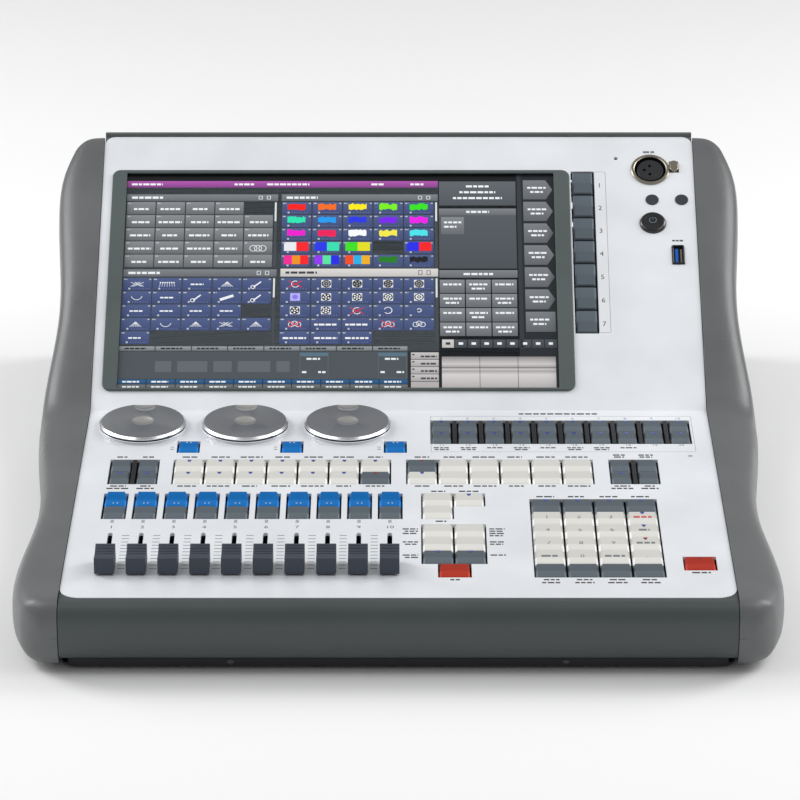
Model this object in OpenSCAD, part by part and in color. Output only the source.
// Desktop lighting control desk: a bent aluminium face between two moulded end cheeks,
// with a sloping touch screen, playback faders, encoder wheels and banks of push keys.
// Origin: centre of the footprint at the underside of the feet. +X right, -Y to the user, +Z up.
// "fwd" is a distance on the deck from the bend towards the user, "up" a distance on the
// screen slope from the bend towards the top edge.

/* [Body] */
// Width of the aluminium face between the two end cheeks
face_w = 363; // [360:1:366]
// Length of the level deck, from the bend to its front edge
deck_len = 249; // [246:1:252]
// Length of the sloping screen section, from the bend to its top edge
screen_len = 209; // [208:1:212]
// Slope of the screen section above the level deck, in degrees
bend_angle = 30.5; // [28:0.5:32]
// Height of the deck surface above the table
deck_z = 41; // [39:0.5:44]
// Thickness of the bent face plate
plate_t = 2; // [1.5:0.1:2.1]
// Thickness of the folded steel of the tray and the rear cover
sheet_t = 1.5; // [1:0.1:1.6]
// How far the rubber feet hold the tray above the table
foot_h = 2; // [1.5:0.1:2.5]
// How far the front bumper and the cheeks stand out in front of the deck
nose_d = 12; // [10:0.5:14]
// How far the cheeks stand above the face
cheek_lip = 1.2; // [0.6:0.1:2]

/* [Keys] */
// Distance between key rows, front to back
row_pitch = 16.65; // [16.4:0.05:16.7]
// Distance between key columns in the large blocks
col_pitch = 17.75; // [17.6:0.05:17.8]
// Gap between neighbouring keys
key_gap = 0.9; // [0.6:0.1:1.2]
// Height of a key's top above the face
key_rise = 0.5; // [0.3:0.1:2]
// Height of a flash key's top above the face
flash_rise = 1.8; // [1.2:0.1:3]
// Depth of a key's skirt below the face
key_skirt = 3; // [2:0.1:3.4]
// Travel of every key
key_travel = 1.2; // [0.8:0.1:1.3]

/* [Faders and wheels] */
// Number of playback faders
fader_count = 10; // [8:1:10]
// Distance between faders
fader_pitch = 17.12; // [17:0.01:17.2]
// Travel of a fader
fader_travel = 42; // [38:1:42]
// Width of a fader cap
cap_w = 10.7; // [9:0.1:11]
// Length of a fader cap
cap_l = 17.7; // [16:0.1:18]
// Height of a fader cap's top above the face
cap_top = 11.5; // [9:0.5:12]
// Radius of an encoder wheel
wheel_r = 25.2; // [24:0.1:25.2]
// Height of a wheel's top above the face
wheel_top = 4.5; // [4:0.1:6]
// Distance between encoder wheels
wheel_pitch = 59.7; // [58:0.1:61]

/* [Display] */
// Width of the display opening in the bezel
view_w = 261.9; // [258:0.1:262.5]
// Height of the display opening in the bezel, along the slope
view_h = 163.4; // [160:0.1:164]
// How far the bezel stands above the face
bezel_rise = 1.6; // [1:0.1:2]

/* [Hidden] */
$fn = 48;

clear = 0.3;                      // gap left between neighbouring pieces
seat_gap = 0.02;                  // gap under a flange that lies on the sloping face
tray_z = foot_h;                  // underside of the steel tray
bend_y = 38.5;                    // line where the deck meets the slope
deck_front_y = bend_y - deck_len;
nose_y = deck_front_y - nose_d;   // foremost line of the bumper
top_y = bend_y + screen_len * cos(bend_angle);
top_z = deck_z + screen_len * sin(bend_angle);
plate_end_y = top_y + plate_t * sin(bend_angle);
rear_in_y = plate_end_y + clear;  // inner face of the rear cover
rear_out_y = rear_in_y + sheet_t; // outer face of the rear cover
cheek_rear_y = -nose_y;           // the cheeks end evenly about the origin
strip_h = 5;                      // visible front edge of the tray, below the bumper
strip_y = deck_front_y - 4;
bumper_bottom = tray_z + strip_h;
tray_wall_h = 12;
tray_corner_r = 9;                // rounding of the tray's front corners, seen from above
front_corner_r = 11;              // rounding of the face's front corners
top_corner_r = 7;                 // rounding of its top corners
cheek_in = face_w / 2 + clear;

// Key blocks: [left edge, front edge fwd of the bend, columns, rows, column pitch, key width]
wide_key = col_pitch - key_gap;
narrow_key = 11.6;
narrow_pitch = 15.4;
key_clear = 0.7;                  // gap between a key block and the edge of its opening
fixture_block = [-166.2, 103.7, 2, 2, narrow_pitch, narrow_key];
attribute_block = [-128.6, 103.7, 7, 2, col_pitch, wide_key];
function_block = [4.6, 103.7, 6, 2, col_pitch, wide_key];
window_block = [119, 103.7, 2, 2, narrow_pitch, narrow_key];
macro_block = [17.3, 48, 10, 2, narrow_pitch, narrow_key];
page_block = [13, 150, 2, 2, col_pitch, wide_key];
cue_block = [12.8, 207.4, 2, 3, col_pitch, wide_key];
go_block = [21.7, 224.1, 1, 1, col_pitch, wide_key];
number_block = [73.7, 224.1, 4, 6, col_pitch, wide_key];
locate_block = [155, 215.4, 1, 1, col_pitch, wide_key];
playback_block = [-167.2, 150, 10, 2, fader_pitch, 12.5];
soft_block = [106.1, 57, 1, 7, 13.5, 12.9];
soft_pitch = 17.74;

wheel_x = [for (i = [0:2]) -149.1 + i * wheel_pitch];
wheel_fwd = 25;
wheel_gap = 1.3;                  // underside of a wheel above the face
wheel_key_x = [for (x = wheel_x) x + 27.9];
wheel_key_fwd = 52.6;
wheel_key_size = [11.9, 14.8];
shaft_r = 3;
shaft_fit = 0.05;                 // running clearance of a wheel shaft in its bushing
hub_hole_r = 6;
dimple_r = 14.5;                  // sphere that presses a finger dimple into a wheel
dimple_sink = 1.5;
dimple_at = 21;                   // distance of the outer dimple from the wheel's axis

fader_x0 = -158.8;
fader_rest_fwd = 213.5;           // lever position with the fader at zero
fader_slot_w = 2.7;
lever_w = 1.6;
lever_l = 4;
slot_margin = 1.5;

bezel_left = -175.5;
bezel_right = 104.8;
bezel_low = 14.1;
bezel_high = 181.5;
view_left = -166.7;
view_low = 15.8;
lcd_left = -172;
lcd_right = 101.4;
lcd_low = 15;
lcd_high = 180.4;
glass_t = 1.1;
glass_z = -0.7;                   // top of the glass below the face

board_z = -12;                    // top of the key board below the face
board_t = 1.6;
switch_h = 6;
soft_board_z = -11;

lamp_at = [154.8, 182.6];
lamp_r = 11.8;
latch_at = [169.5, 185];
plug_at = [[155.2, 159], [173.2, 159]];
plug_r = 4;
power_at = [155, 140.9];
power_r = 7.8;
usb_at = [169.5, 116.3];
usb_size = [7.1, 14.1];
pinhole_at = [133.9, 191.8];

fan_at = [96, 98];               // x and z of the fan's axis, on the rear cover
fan_size = 60;
fan_d = 15;
fan_hub_r = 12;
fan_pin_r = 2;
blade_count = 7;
inlet_at = [-140, 34];
inlet_size = [50, 27];
socket_x = [-92, -62, -32, -2];   // four data outputs in a row
socket_z = 34;
socket_r = 11.5;
port_z = 30;
port_list = [[34, 16, 13.5], [56, 13.2, 6], [74, 13.2, 6], [98, 15, 6]]; // [x, width, height]
port_depth = 16;
front_screw_x = [-90, 90];
foot_at = [for (x = [-150, 150], y = [-185, 185]) [x, y]];
rear_screw_at = [for (x = [-165, 0, 165], z = [70, 136]) [x, z]];
tray_screw_at = [for (x = [-170, 170], y = [-100, 0, 100]) [x, y]];

main_board_at = [16, 120, 14];
main_board_size = [170, 150];
supply_at = [-122, 145, 6.5];
supply_size = [100, 90, 32];

// Moves its children to a place on the deck surface; local +Y points to the back
module on_deck(x, fwd, z = 0) {
    translate([x, bend_y - fwd, deck_z + z]) children();
}

// Moves its children to a place on the screen slope; local +Y climbs the slope
module on_screen(x, up, z = 0) {
    translate([0, bend_y, deck_z]) rotate([bend_angle, 0, 0]) translate([x, up, z]) children();
}

// Extrudes a side profile, drawn as [y, z], across the desk
module across(width) {
    translate([-width / 2, 0, 0]) rotate([90, 0, 90]) linear_extrude(width) children();
}

// Turns a cylinder's axis from +Z to +Y
module to_back() {
    rotate([-90, 0, 0]) children();
}

module block(size, z0) {
    translate([-size[0] / 2, -size[1] / 2, z0]) cube(size);
}

module round_slab(w, l, h, r) {
    linear_extrude(h) round_rect(w, l, r);
}

module round_rect(w, l, r) {
    union() {
        square([w - 2 * r, l], center = true);
        square([w, l - 2 * r], center = true);
        for (x = [-1, 1], y = [-1, 1]) translate([x * (w / 2 - r), y * (l / 2 - r)]) circle(r);
    }
}

// ---- Body ----

// Rounded front outline shared by the bumper and, grown by the lip, the cheeks
function nose_point(a, grow = 0) = let (
    mid = (deck_z + bumper_bottom) / 2,
    half = (deck_z - bumper_bottom) / 2 + grow,
    power = 0.75
) [
    deck_front_y - (nose_d) * pow(max(cos(a), 0), power),
    mid + half * sign(sin(a)) * pow(abs(sin(a)), power)
];

module bumper_profile() {
    polygon(concat(
        [[deck_front_y - clear / 2, deck_z - clear], [deck_front_y - clear / 2, bumper_bottom]],
        [for (a = [-70:5:80]) nose_point(a)]
    ));
}

// Fills the corner that a rounded plate corner leaves open, just below the face. Local +X and
// +Y point out of the corner; over is how far the filler runs on into the piece it belongs to.
module corner_filler(r, over, drop, h) {
    translate([0, 0, -drop]) difference() {
        cube([r - clear / 2, r + over, h]);
        translate([0, 0, -1]) cylinder(r = r + clear / 2, h = h + 2);
    }
}

module front_bumper() {
    at_x = face_w / 2 - front_corner_r;
    color("darkslategray") union() {
        across(face_w - clear) bumper_profile();
        on_deck(at_x, deck_len - front_corner_r) mirror([0, 1, 0])
            corner_filler(front_corner_r, clear, 18, 17.7);
        on_deck(-at_x, deck_len - front_corner_r) rotate([0, 0, 180])
            corner_filler(front_corner_r, clear, 18, 17.7);
    }
}

module face_profile() {
    polygon([
        [deck_front_y, deck_z],
        [deck_front_y, deck_z - 18],
        [deck_front_y + plate_t, deck_z - 18],
        [deck_front_y + plate_t, deck_z - plate_t],
        [bend_y + plate_t * tan(bend_angle / 2), deck_z - plate_t],
        [plate_end_y, top_z - plate_t * cos(bend_angle)],
        [top_y, top_z],
        [bend_y, deck_z]
    ]);
}

// Opening for a block of keys
module block_hole(b, pitch = row_pitch) {
    w = (b[2] - 1) * b[4] + b[5] + 2 * key_clear;
    l = b[3] * pitch - key_gap + 2 * key_clear;
    x = b[0] + (b[4] - b[5]) / 2 - key_clear;
    translate([x, key_gap / 2 - key_clear, -plate_t - 1]) cube([w, l, plate_t + 2]);
}

module deck_block_hole(b) {
    on_deck(0, b[1]) block_hole(b);
}

module corner_cut(r, h) {
    difference() {
        translate([0, 0, -h]) cube([r + 1, r + 1, 2 * h]);
        translate([0, 0, -h - 1]) cylinder(r = r, h = 2 * h + 2);
    }
}

module fader_slot(straight) {
    block([fader_slot_w, straight, 6], -4);
    for (s = [-1, 1]) translate([0, s * straight / 2, -4]) cylinder(r = fader_slot_w / 2, h = 6);
}

module faceplate() {
    color("gainsboro") difference() {
        across(face_w) face_profile();
        for (s = [-1, 1]) {
            on_deck(s * (face_w / 2 - front_corner_r), deck_len - front_corner_r)
                rotate([0, 0, s > 0 ? -90 : 180]) corner_cut(front_corner_r, 60);
            on_screen(s * (face_w / 2 - top_corner_r), screen_len - top_corner_r)
                rotate([0, 0, s > 0 ? 0 : 90]) corner_cut(top_corner_r, 4);
        }
        for (b = [fixture_block, attribute_block, function_block, window_block, macro_block,
                  cue_block, go_block, number_block, locate_block]) deck_block_hole(b);
        on_deck(0, page_block[1] - row_pitch)
            block_hole([page_block[0], 0, 2, 1, page_block[4], page_block[5]]);
        deck_block_hole([page_block[0], page_block[1], 1, 2, page_block[4], page_block[5]]);
        for (i = [0:fader_count - 1])
            deck_block_hole([playback_block[0] + i * fader_pitch, playback_block[1], 1, 2,
                             fader_pitch, playback_block[5]]);
        on_screen(0, soft_block[1]) block_hole(soft_block, soft_pitch);
        for (i = [0:fader_count - 1])
            on_deck(fader_x0 + i * fader_pitch, fader_rest_fwd - fader_travel / 2)
                fader_slot(fader_travel + lever_l + 2 * slot_margin - fader_slot_w);
        for (x = wheel_x) on_deck(x, wheel_fwd, -5) cylinder(r = hub_hole_r, h = 10);
        for (x = wheel_key_x)
            on_deck(x, wheel_key_fwd)
                block([wheel_key_size[0] + 2 * key_clear, wheel_key_size[1] + 2 * key_clear, 6], -4);
        on_screen((lcd_left + lcd_right) / 2, (lcd_low + lcd_high) / 2)
            block([lcd_right - lcd_left, lcd_high - lcd_low, 6], -4);
        on_screen(lamp_at[0], lamp_at[1], -5) cylinder(r = lamp_r - 0.8, h = 10);
        on_screen(latch_at[0], latch_at[1]) block([5.9, 8.8, 6], -4);
        for (p = plug_at) on_screen(p[0], p[1], -5) cylinder(r = plug_r - 0.8, h = 10);
        on_screen(power_at[0], power_at[1], -5) cylinder(r = power_r + clear, h = 10);
        on_screen(usb_at[0], usb_at[1])
            block([usb_size[0] + 2 * clear, usb_size[1] + 2 * clear, 6], -4);
        on_screen(pinhole_at[0], pinhole_at[1], -5) cylinder(r = 1.2, h = 10);
        on_deck(167.8, 65) block([2.4, 2, 6], -4);
    }
}

// Half width of the cheeks at their widest places: [y, half width]
waves = [[-175, 209], [-88, 202.5], [bend_y, 211.4], [116, 204.4], [188, 208.7]];

function ease(u) = (1 - cos(180 * u)) / 2;

function wave_at(y, i = 0) =
    y <= waves[0][0] ? waves[0][1] :
    i >= len(waves) - 1 ? waves[len(waves) - 1][1] :
    y > waves[i + 1][0] ? wave_at(y, i + 1) :
    waves[i][1] + (waves[i + 1][1] - waves[i][1])
        * ease((y - waves[i][0]) / (waves[i + 1][0] - waves[i][0]));

rear_round = 36;                  // length over which the cheek closes in to the back
front_round = 39;                 // and to the front
function cheek_out(y) = let (
    back = max(0, (y - cheek_rear_y + rear_round - 3) / rear_round),
    front = max(0, (nose_y + front_round - y) / (front_round + 1))
) cheek_in + (wave_at(y) - cheek_in) * sqrt(1 - back * back) * pow(1 - pow(front, 2.05), 0.42);

top_round = 9;                    // roundness of the cheek's rear top corner
nose_mid_z = (deck_z + bumper_bottom) / 2;
function nose_close(y) = y < deck_front_y
    ? pow(1 - pow(min(1, (deck_front_y - y) / nose_d), 2.4), 0.42) : 1;

function cheek_top(y) = let (
    slope_z = y < bend_y ? deck_z : deck_z + (y - bend_y) * tan(bend_angle),
    tail = min(1, max(0, (y - cheek_rear_y + top_round) / top_round))
) y < deck_front_y
    ? nose_mid_z + (deck_z + cheek_lip - nose_mid_z) * nose_close(y)
    : min(slope_z, top_z + 0.4) + cheek_lip - top_round * (1 - sqrt(1 - tail * tail * 0.96));

function cheek_bottom(y) = nose_mid_z - (nose_mid_z - bumper_bottom + 4) * nose_close(y);

// One upright slice of the cheek, as points going round it: flat inside, rounded outside
cheek_arc = 9;
corner_h = 19;                    // height over which a slice rounds off above and below
squareness = 0.58;
function cheek_slice(y) = let (
    zt = cheek_top(y),
    zb = cheek_bottom(y),
    w = cheek_out(y) - cheek_in,
    r = min(corner_h, (zt - zb) / 2)
) concat(
    [[cheek_in, y, zb]],
    [for (i = [0:cheek_arc]) let (a = 90 * i / cheek_arc)
        [cheek_in + w * pow(sin(a) * 0.998 + 0.002, squareness), y, zb + r - r * pow(cos(a), squareness)]],
    [for (i = [0:cheek_arc]) let (a = 90 * i / cheek_arc)
        [cheek_in + w * pow(cos(a) * 0.998 + 0.002, squareness), y, zt - r + 0.01 + r * pow(sin(a), squareness)]],
    [[cheek_in, y, zt + 0.01]]
);

cheek_ys = concat(
    [for (i = [0:7]) deck_front_y - nose_d * cos(i * 90 / 8) + 0.01],
    [for (i = [0:20]) deck_front_y + (bend_y - deck_front_y) * i / 20],
    [for (i = [1:14]) bend_y + (cheek_rear_y - top_round - bend_y) * i / 14],
    [for (i = [1:6]) cheek_rear_y - top_round * cos(i * 90 / 6)]
);

module cheek() {
    rings = [for (y = cheek_ys) cheek_slice(y)];
    n = len(rings[0]);
    m = len(rings);
    polyhedron(
        points = [for (ring = rings) for (p = ring) p],
        faces = concat(
            [[for (k = [0:n - 1]) k]],
            [for (j = [0:m - 2], k = [0:n - 1]) let (k2 = (k + 1) % n)
                [j * n + k, (j + 1) * n + k, (j + 1) * n + k2]],
            [for (j = [0:m - 2], k = [0:n - 1]) let (k2 = (k + 1) % n)
                [j * n + k, (j + 1) * n + k2, j * n + k2]],
            [[for (k = [0:n - 1]) m * n - 1 - k]]
        )
    );
}

module right_cheek() {
    color("dimgray") cheek();
}

module left_cheek() {
    color("dimgray") mirror([1, 0, 0]) cheek();
}

module base_tray() {
    side_x = face_w / 2 - sheet_t - clear;
    color([0.12, 0.12, 0.13]) difference() {
        union() {
            across(face_w - 2 * clear) polygon([
                [strip_y, tray_z],
                [rear_in_y - clear, tray_z],
                [rear_in_y - clear, tray_z + tray_wall_h],
                [rear_in_y - clear - sheet_t, tray_z + tray_wall_h],
                [rear_in_y - clear - sheet_t, tray_z + sheet_t],
                [strip_y + sheet_t, tray_z + sheet_t],
                [strip_y + sheet_t, bumper_bottom - clear / 2],
                [strip_y, bumper_bottom - clear / 2]
            ]);
            for (s = [-1, 1])
                translate([s * (side_x + sheet_t / 2), (strip_y + rear_in_y) / 2, 0])
                    block([sheet_t, rear_in_y - strip_y - 16, tray_wall_h - sheet_t], tray_z + sheet_t);
        }
        for (p = tray_screw_at) translate([p[0], p[1], tray_z - 1]) cylinder(r = 1.7, h = 4);
        for (s = [-1, 1]) translate([s * (face_w / 2 - tray_corner_r), strip_y + tray_corner_r, 0])
            rotate([0, 0, s > 0 ? -90 : 180]) corner_cut(tray_corner_r, 20);
        for (x = front_screw_x)
            translate([x, strip_y - 1, tray_z + 2.6]) to_back() cylinder(r = 1, h = 4);
        for (x = [-120:12:-60], y = [-60, 0])
            translate([x, y, 0]) block([4, 40, 8], 0);
    }
}

module rear_cover() {
    color([0.25, 0.27, 0.27]) union() {
        rear_sheet();
        on_screen(face_w / 2 - top_corner_r - clear / 2, screen_len - top_corner_r)
            corner_filler(top_corner_r, 0.8, plate_t, plate_t - 0.15);
        on_screen(-face_w / 2 + top_corner_r + clear / 2, screen_len - top_corner_r)
            mirror([1, 0, 0]) corner_filler(top_corner_r, 0.8, plate_t, plate_t - 0.15);
    }
}

module rear_sheet() {
    difference() {
        across(face_w - 2 * clear) polygon([
            [rear_in_y, tray_z],
            [rear_out_y, tray_z],
            [rear_out_y, top_z - 6],
            [rear_out_y + 0.8, top_z - 5],
            [rear_out_y + 0.8, top_z + 1.4],
            [rear_out_y + 0.2, top_z + 2],
            [top_y + clear, top_z + 2],
            [top_y + clear, top_z + clear],
            [rear_in_y, top_z - plate_t * cos(bend_angle) + clear]
        ]);
        for (x = socket_x) translate([x, rear_in_y - 1, socket_z]) to_back() cylinder(r = socket_r, h = 4);
        for (p = port_list)
            translate([p[0], rear_in_y, port_z]) block([p[1] + 0.6, 6, p[2] + 0.6], -p[2] / 2 - 0.3);
        translate([inlet_at[0], rear_in_y, inlet_at[1]])
            block([inlet_size[0] + 0.6, 6, inlet_size[1] + 0.6], -inlet_size[1] / 2 - 0.3);
        translate([fan_at[0], rear_in_y - 1, fan_at[1]]) to_back() cylinder(r = 27, h = 4);
        for (p = rear_screw_at) translate([p[0], rear_in_y - 1, p[1]]) to_back() cylinder(r = 1.7, h = 4);
        for (x = [-120:9:-30])
            translate([x, rear_in_y, 95]) block([4, 6, 36], -18);
    }
}

// Round wire grille over the fan opening
module vent_grille() {
    color("silver") translate([fan_at[0], rear_out_y + 0.1, fan_at[1]]) to_back() union() {
        for (r = [8:6:32]) rotate_extrude() translate([r, 0]) square([1.4, 0.8]);
        for (a = [45:90:315]) rotate([0, 0, a]) translate([8.4, -0.7, 0]) cube([24.4, 1.4, 0.8]);
    }
}

// ---- Display ----

module screen_bezel() {
    color([0.36, 0.4, 0.39]) on_screen((bezel_left + bezel_right) / 2, (bezel_low + bezel_high) / 2)
        difference() {
            translate([0, 0, seat_gap])
                round_slab(bezel_right - bezel_left, bezel_high - bezel_low, bezel_rise, 5);
            translate([view_left - bezel_left - (bezel_right - bezel_left - view_w) / 2,
                       view_low - bezel_low - (bezel_high - bezel_low - view_h) / 2, 0])
                block([view_w, view_h, 8], -4);
        }
}

module lcd_sheet(thick, z, inset) {
    on_screen((lcd_left + lcd_right) / 2, (lcd_low + lcd_high) / 2)
        block([lcd_right - lcd_left - 2 * inset, lcd_high - lcd_low - 2 * inset, thick], z);
}

module touch_glass() {
    color([0.1, 0.11, 0.13, 0.6]) lcd_sheet(glass_t, glass_z - glass_t, clear);
}

module lcd_panel() {
    color([0.1, 0.1, 0.12]) lcd_sheet(6.5, glass_z - glass_t - 0.1 - 6.5, clear);
}

// ---- Circuit boards and internal units ----

module switches(b, pitch = row_pitch) {
    for (c = [0:b[2] - 1], r = [0:b[3] - 1])
        translate([b[0] + (c + 0.5) * b[4], (r + 0.5) * pitch]) block([9, 9, switch_h + 0.01], -0.01);
}

module key_board() {
    color([0.08, 0.09, 0.09]) difference() {
        union() {
            on_deck(0, 116) block([342, 226, board_t], board_z - board_t);
            for (b = [fixture_block, attribute_block, function_block, window_block, macro_block,
                      cue_block, go_block, number_block, locate_block, playback_block])
                on_deck(0, b[1], board_z) switches(b);
            on_deck(0, page_block[1] - row_pitch, board_z)
                switches([page_block[0], 0, 2, 1, page_block[4], 0]);
            on_deck(0, page_block[1], board_z) switches([page_block[0], 0, 1, 1, page_block[4], 0]);
            for (x = wheel_key_x) on_deck(x, wheel_key_fwd, board_z) block([9, 9, switch_h + 0.01], -0.01);
        }
        for (p = post_at) on_deck(p[0], p[1], board_z - 3) cylinder(r = 1.6, h = 6);
        for (x = wheel_x) on_deck(x, wheel_fwd) block([17, 17, 12], board_z - 6);
        on_deck(fader_x0 + 4.5 * fader_pitch, fader_rest_fwd - fader_travel / 2)
            block([10 * fader_pitch, 61, 12], board_z - 6);
    }
}

post_at = [for (x = [-168, 0, 168], f = [10, 110]) [x, f]];

module board_posts() {
    color("goldenrod") {
        for (p = post_at) on_deck(p[0], p[1]) {
            translate([0, 0, board_z + clear / 2])
                cylinder(r = 3, h = -board_z - plate_t - clear);
        }
        for (x = [-1, 1], y = [-1, 1])
            translate([main_board_at[0] + x * 80, main_board_at[1] + y * 70, tray_z + sheet_t])
                cylinder(r = 3.5, h = main_board_at[2] - tray_z - sheet_t);
    }
}

module screen_board() {
    key_x = soft_block[0] + soft_block[4] / 2;
    color([0.08, 0.09, 0.09]) difference() {
        union() {
            on_screen(140, 120) block([66, 128, board_t], soft_board_z - board_t);
            for (r = [0:6])
                on_screen(key_x, soft_block[1] + (r + 0.5) * soft_pitch, soft_board_z)
                    block([9, 9, 5.01], -0.01);
            on_screen(power_at[0], power_at[1], soft_board_z) block([9, 9, 4.01], -0.01);
        }
        on_screen(lamp_at[0] + 6, lamp_at[1] + 2) block([48, 30, 12], soft_board_z - 6);
    }
}

module main_board() {
    color("seagreen") translate(main_board_at) union() {
        block([main_board_size[0], main_board_size[1], board_t], 0);
        translate([-20, 10, 0]) block([50, 50, 24], board_t - 0.01);
        for (x = [30, 40]) translate([x, 10, 0]) block([6, 110, 20], board_t - 0.01);
        translate([-60, -40, 0]) block([30, 22, 6], board_t - 0.01);
    }
}

module power_supply() {
    color("silver") translate(supply_at) difference() {
        block(supply_size, 0);
        for (x = [-40:10:40]) translate([x, 0, supply_size[2] - 4]) block([4, 70, 8], 0);
    }
}

module fan_frame() {
    inner_y = rear_in_y - clear - fan_d;
    color([0.15, 0.15, 0.15]) translate([fan_at[0], inner_y, fan_at[1]]) to_back() union() {
        difference() {
            block([fan_size, fan_size, fan_d], 0);
            translate([0, 0, -1]) cylinder(r = 28, h = fan_d + 2);
        }
        for (a = [0:90:270]) rotate([0, 0, a]) translate([4, -1.5, 0]) cube([25, 3, 2]);
        cylinder(r = 8, h = 2);
        cylinder(r = fan_pin_r, h = 10);
    }
}

module fan_rotor() {
    inner_y = rear_in_y - clear - fan_d;
    color([0.2, 0.2, 0.2]) translate([fan_at[0], inner_y + 3, fan_at[1]]) to_back() difference() {
        union() {
            cylinder(r = fan_hub_r, h = 10);
            for (a = [0:360 / blade_count:359]) rotate([0, 0, a])
                translate([fan_hub_r - 1, 0, 5]) rotate([32, 0, 0]) translate([0, -5, -0.8]) cube([15.5, 10, 1.6]);
        }
        translate([0, 0, -1]) cylinder(r = fan_pin_r + 0.05, h = 9);
    }
}

// ---- Encoder wheels ----

module encoders() {
    bushing_top = -plate_t - clear;
    color("silver") for (x = wheel_x) on_deck(x, wheel_fwd) difference() {
        union() {
            block([14, 14, 7], board_z - 7);
            translate([0, 0, board_z - 0.01]) cylinder(r = 5, h = bushing_top - board_z);
        }
        translate([0, 0, board_z - 1]) cylinder(r = shaft_r + shaft_fit, h = 20);
    }
}

module wheel_collars() {
    color("whitesmoke") for (x = wheel_x) on_deck(x, wheel_fwd) difference() {
        cylinder(r = wheel_r - 0.4, h = wheel_gap - clear, $fn = 96);
        translate([0, 0, -1]) cylinder(r = wheel_r - 6, h = 4);
    }
}

module wheel(x) {
    edge = 0.8;
    color([0.3, 0.31, 0.33]) on_deck(x, wheel_fwd) difference() {
        union() {
            rotate_extrude($fn = 96) polygon([
                [0, wheel_gap], [wheel_r - edge, wheel_gap], [wheel_r - edge, wheel_gap + 0.5],
                [wheel_r, wheel_gap + 0.5], [wheel_r, wheel_top - edge], [wheel_r - edge, wheel_top],
                [0, wheel_top]
            ]);
            translate([0, 0, board_z + 0.5]) cylinder(r = shaft_r, h = wheel_gap - board_z);
        }
        translate([0, dimple_at, wheel_top + dimple_r - dimple_sink]) sphere(r = dimple_r);
        translate([0, 0, wheel_top + dimple_r - dimple_sink]) sphere(r = dimple_r);
    }
}

module left_wheel() {
    wheel(wheel_x[0]);
}

module middle_wheel() {
    wheel(wheel_x[1]);
}

module right_wheel() {
    wheel(wheel_x[2]);
}

// ---- Keys ----

module key(w, l, rise) {
    stem_h = 1.6;
    translate([0, 0, 0]) block([w, l, key_skirt + rise], -key_skirt);
    translate([0, 0, -key_skirt - stem_h]) cylinder(r = 2, h = stem_h + 0.01);
}

module bank(b, rise = key_rise, pitch = row_pitch) {
    for (c = [0:b[2] - 1], r = [0:b[3] - 1])
        translate([b[0] + (c + 0.5) * b[4], (r + 0.5) * pitch]) key(b[5], pitch - key_gap, rise);
}

module deck_bank(b) {
    on_deck(0, b[1]) bank(b);
}

module wheel_key(x) {
    color("dodgerblue") on_deck(x, wheel_key_fwd) key(wheel_key_size[0], wheel_key_size[1], key_rise);
}

module left_wheel_key() {
    wheel_key(wheel_key_x[0]);
}

module middle_wheel_key() {
    wheel_key(wheel_key_x[1]);
}

module right_wheel_key() {
    wheel_key(wheel_key_x[2]);
}

module flash_keys() {
    color("dodgerblue") for (i = [0:fader_count - 1])
        on_deck(playback_block[0] + (i + 0.5) * fader_pitch, playback_block[1] - 1.5 * row_pitch)
            key(playback_block[5], row_pitch - key_gap, flash_rise);
}

module select_keys() {
    color("slategray") for (i = [0:fader_count - 1])
        on_deck(playback_block[0] + (i + 0.5) * fader_pitch, playback_block[1] - 0.5 * row_pitch)
            key(playback_block[5], row_pitch - key_gap, key_rise);
}

module fixture_keys() {
    color("slategray") deck_bank(fixture_block);
}

module attribute_keys() {
    color("ivory") deck_bank(attribute_block);
}

module function_keys() {
    color("ivory") deck_bank(function_block);
}

module window_keys() {
    color("slategray") deck_bank(window_block);
}

module macro_keys() {
    color("slategray") deck_bank(macro_block);
}

module page_keys() {
    color("ivory") {
        on_deck(0, page_block[1] - row_pitch) bank([page_block[0], 0, 2, 1, page_block[4], page_block[5]]);
        on_deck(0, page_block[1]) bank([page_block[0], 0, 1, 1, page_block[4], page_block[5]]);
    }
}

module cue_keys() {
    color("ivory") deck_bank(cue_block);
}

module go_key() {
    color("firebrick") deck_bank(go_block);
}

module number_keys() {
    color("ivory") deck_bank(number_block);
}

module locate_key() {
    color("firebrick") deck_bank(locate_block);
}

module soft_keys() {
    color("slategray") on_screen(0, soft_block[1]) bank(soft_block, key_rise, soft_pitch);
}

module power_button() {
    color([0.08, 0.08, 0.09]) on_screen(power_at[0], power_at[1]) {
        translate([0, 0, -key_skirt]) cylinder(r = power_r, h = key_skirt + 1);
        translate([0, 0, 1]) intersection() {
            cylinder(r = power_r, h = 2);
            translate([0, 0, 1 - 30]) sphere(r = 30);
        }
        translate([0, 0, -key_skirt - 2.4]) cylinder(r = 2.5, h = 2.41);
    }
}

// ---- Faders ----

module fader_tracks() {
    color([0.12, 0.12, 0.13]) for (i = [0:fader_count - 1])
        on_deck(fader_x0 + i * fader_pitch, fader_rest_fwd - fader_travel / 2) difference() {
            block([12, 58, 11], -13.5);
            block([lever_w + 0.8, fader_travel + lever_l + 2, 9], -11);
        }
}

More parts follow.
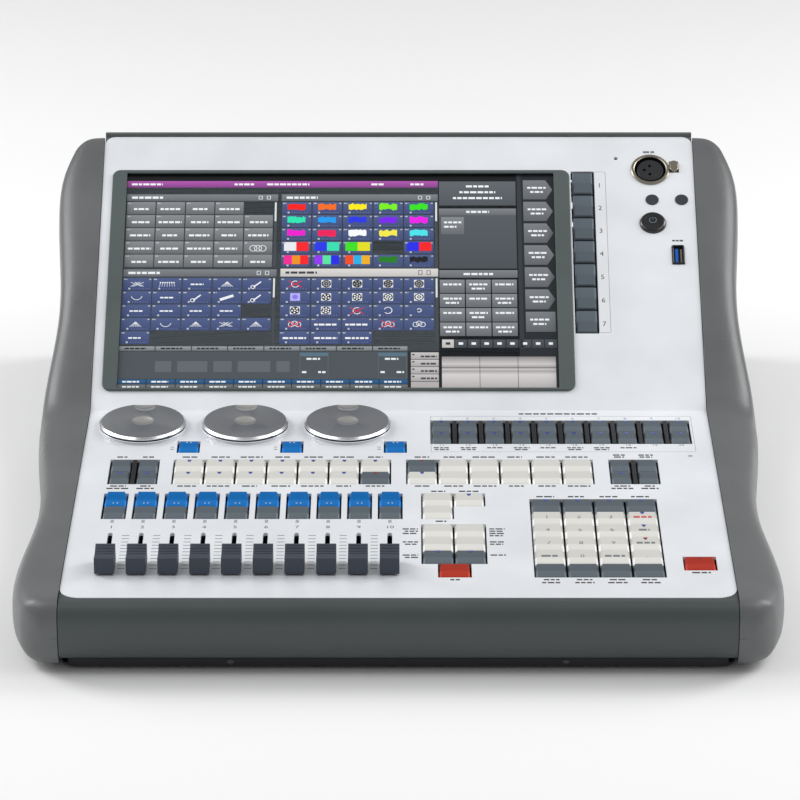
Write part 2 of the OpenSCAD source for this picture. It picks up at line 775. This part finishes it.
module fader(i) {
    groove = 0.7;
    color([0.24, 0.28, 0.34]) on_deck(fader_x0 + (i - 1) * fader_pitch, fader_rest_fwd) {
        difference() {
            rotate([90, 0, 90]) translate([0, 0, -cap_w / 2]) linear_extrude(cap_w) polygon([
                [-cap_l / 2, 1], [cap_l / 2, 1], [cap_l / 2 - 0.8, cap_top - 0.5],
                [cap_l / 2 - 1.3, cap_top], [0, cap_top - 2],
                [-cap_l / 2 + 1.6, cap_top - 1.1], [-cap_l / 2 + 0.6, cap_top - 2]
            ]);
            for (y = [-2.4, 0, 2.4])
                translate([0, y, cap_top - 2.5]) block([cap_w + 1, groove, 4], 0);
        }
        block([lever_w, lever_l, 9.5], -8.5);
    }
}

module fader_1() {
    fader(1);
}

module fader_2() {
    fader(2);
}

module fader_3() {
    fader(3);
}

module fader_4() {
    fader(4);
}

module fader_5() {
    fader(5);
}

module fader_6() {
    fader(6);
}

module fader_7() {
    fader(7);
}

module fader_8() {
    fader(8);
}

module fader_9() {
    fader(9);
}

module fader_10() {
    fader(10);
}

// ---- Connectors and fasteners ----

// Round female socket face: a flange ring with a recessed insert and contact holes
module round_socket(flange_r, barrel_r, depth, holes, ring) {
    difference() {
        union() {
            cylinder(r = flange_r, h = 1.2);
            translate([0, 0, -depth]) cylinder(r = barrel_r, h = depth + 0.01);
        }
        translate([0, 0, 0.6]) cylinder(r = flange_r - 1.5, h = 2);
        for (i = [0:holes - 1]) rotate([0, 0, ring + i * 360 / (holes + 1)])
            translate([5, 0, -6]) cylinder(r = 1.3, h = 10, $fn = 24);
    }
}

module lamp_socket() {
    color("dimgray") on_screen(lamp_at[0], lamp_at[1], seat_gap) round_socket(lamp_r, lamp_r - 1, 17, 3, 45);
}

module lamp_latch() {
    color("silver") on_screen(latch_at[0], latch_at[1]) {
        block([5.2, 8, 6], -5);
        block([5.4, 8.2, 0.6], 1);
    }
}

module usb_shell(size, depth, tongue) {
    difference() {
        block([size[0], size[1], depth + 0.4], -depth);
        block([size[0] - 1.4, size[1] - 1.4, depth], 1.5 - depth);
    }
    translate([tongue, 0, 0]) block([1.6, size[1] - 3, depth - 2], 1 - depth);
}

module usb_socket() {
    color("silver") on_screen(usb_at[0], usb_at[1]) usb_shell(usb_size, 9.5, 0);
}

module blanking_plugs() {
    color([0.1, 0.1, 0.1]) for (p = plug_at) on_screen(p[0], p[1], seat_gap) {
        cylinder(r = plug_r, h = 0.4);
        translate([0, 0, -4]) cylinder(r = plug_r - 1, h = 4.01);
    }
}

module mains_inlet() {
    recess = [27, 19.5];
    plug_x = -9;
    rocker_x = 15;
    color([0.08, 0.08, 0.08]) translate([inlet_at[0], rear_out_y + 0.4, inlet_at[1]]) {
        difference() {
            translate([0, -12, 0]) block([inlet_size[0], 24, inlet_size[1]], -inlet_size[1] / 2);
            translate([plug_x, -5, 0]) block([recess[0], 20, recess[1]], -recess[1] / 2);
            translate([rocker_x, -4, 0]) block([12, 16, 20], -10);
        }
        for (p = [[-7, -2.5], [7, -2.5], [0, 3.5]])
            translate([plug_x + p[0], -8, p[1]]) block([2, 14.01, 4], -2);
        translate([rocker_x, -6.5, 0]) block([14, 3, 3], -1.5);
    }
}

// See-saw switch that turns on a pin across its width
module mains_rocker() {
    color("firebrick") translate([inlet_at[0] + 15, rear_out_y - 2.6, inlet_at[1]]) rotate([90, 0, 90])
        translate([0, 0, -5.5]) linear_extrude(11)
            polygon([[-1.2, -8], [1.9, -8.5], [1.6, 0], [3.4, 8.2], [-0.6, 8.4], [-1.2, 0]]);
}

module dmx_sockets() {
    color([0.14, 0.14, 0.15]) for (x = socket_x)
        translate([x, rear_out_y, socket_z]) to_back() union() {
            round_socket(13, 10.8, 18, 5, 0);
        }
}

module data_sockets() {
    color("silver") for (p = port_list)
        translate([p[0], rear_out_y + 0.3 - port_depth / 2, port_z]) difference() {
            block([p[1], port_depth, p[2]], -p[2] / 2);
            translate([0, 2, 0]) block([p[1] - 2, port_depth, p[2] - 2], 1 - p[2] / 2);
        }
}

module screw(head_r, shank_r, length) {
    intersection() {
        cylinder(r = head_r, h = 1);
        translate([0, 0, 1 - 2 * head_r]) sphere(r = 2 * head_r);
    }
    translate([0, 0, -length]) cylinder(r = shank_r, h = length + 0.01);
}

module case_screws() {
    color("dimgray") {
        for (p = rear_screw_at) translate([p[0], rear_out_y, p[1]]) to_back() screw(2.6, 1.5, 6);
        for (p = tray_screw_at) translate([p[0], p[1], tray_z]) rotate([180, 0, 0]) screw(2.8, 1.5, 4);
        for (x = front_screw_x)
            translate([x, strip_y, tray_z + 2.6]) rotate([90, 0, 0]) screw(1.9, 0.9, 4);
    }
}

module rubber_feet() {
    color([0.1, 0.1, 0.1]) for (p = foot_at) translate([p[0], p[1], 0]) cylinder(r = 8, h = tray_z);
}

base_tray();
faceplate();
front_bumper();
left_cheek();
right_cheek();
rear_cover();
screen_bezel();
touch_glass();
lcd_panel();
main_board();
power_supply();
fan_frame();
fan_rotor();
key_board();
screen_board();
board_posts();
encoders();
wheel_collars();
left_wheel();
middle_wheel();
right_wheel();
left_wheel_key();
middle_wheel_key();
right_wheel_key();
fader_tracks();
fader_1();
fader_2();
fader_3();
fader_4();
fader_5();
fader_6();
fader_7();
fader_8();
fader_9();
fader_10();
flash_keys();
select_keys();
fixture_keys();
attribute_keys();
function_keys();
window_keys();
macro_keys();
page_keys();
cue_keys();
go_key();
number_keys();
locate_key();
soft_keys();
power_button();
lamp_socket();
lamp_latch();
usb_socket();
blanking_plugs();
mains_inlet();
mains_rocker();
dmx_sockets();
data_sockets();
vent_grille();
case_screws();
rubber_feet();
